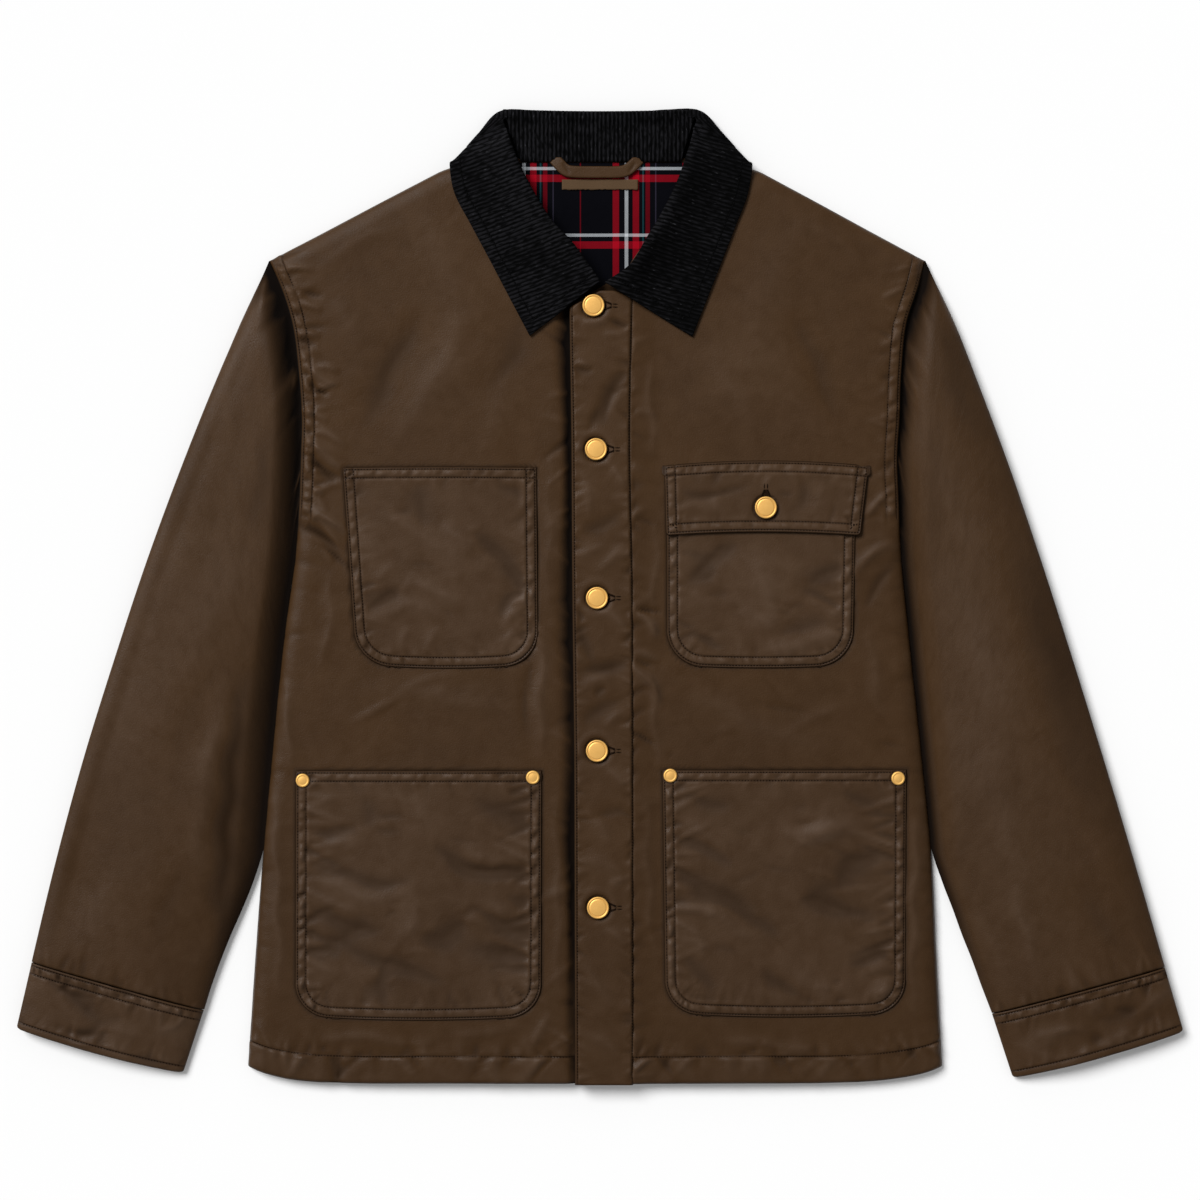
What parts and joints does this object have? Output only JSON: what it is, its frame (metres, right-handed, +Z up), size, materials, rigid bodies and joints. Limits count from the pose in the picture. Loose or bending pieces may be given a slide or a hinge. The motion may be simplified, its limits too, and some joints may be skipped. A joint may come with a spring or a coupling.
{
  "type": "waxed cotton chore jacket",
  "caption": "Waxed-cotton chore jacket laid flat and buttoned, with corduroy collar, patch pockets, riveted hip pockets, cuffs and a tartan lining at the neck.",
  "frame": {"origin": "centre of the laid jacket's bounding box, on the surface it lies on", "axes": "+X towards the wearer's left sleeve, +Y towards the collar, +Z up out of the surface, from the back to the front of the jacket"},
  "size_m": [0.932, 0.7794, 0.0223],
  "materials": {
    "waxed_cotton": "waxed, low sheen",
    "corduroy": "fine-wale corduroy",
    "tartan_lining": "woven check",
    "label_cloth": "matte",
    "brass": "satin"
  },
  "bodies": {
    "root": {"back_panel": "waxed_cotton", "front_right": "waxed_cotton", "front_left": "waxed_cotton", "placket": "waxed_cotton", "chest_pocket_right": "waxed_cotton", "chest_pocket_left": "waxed_cotton", "hip_pocket_right": "waxed_cotton", "hip_pocket_left": "waxed_cotton", "pocket_flap": "waxed_cotton", "sleeve_right": "waxed_cotton", "sleeve_left": "waxed_cotton", "cuff_right": "waxed_cotton", "cuff_left": "waxed_cotton", "collar_fall": "corduroy", "collar_stand": "corduroy", "back_lining": "tartan_lining", "hanger_loop": "waxed_cotton", "label_patch": "label_cloth", "front_button_1": "brass", "front_button_2": "brass", "front_button_3": "brass", "front_button_4": "brass", "front_button_5": "brass", "flap_button": "brass", "rivet_1": "brass", "rivet_2": "brass", "rivet_3": "brass", "rivet_4": "brass"}
  },
  "joints": []
}
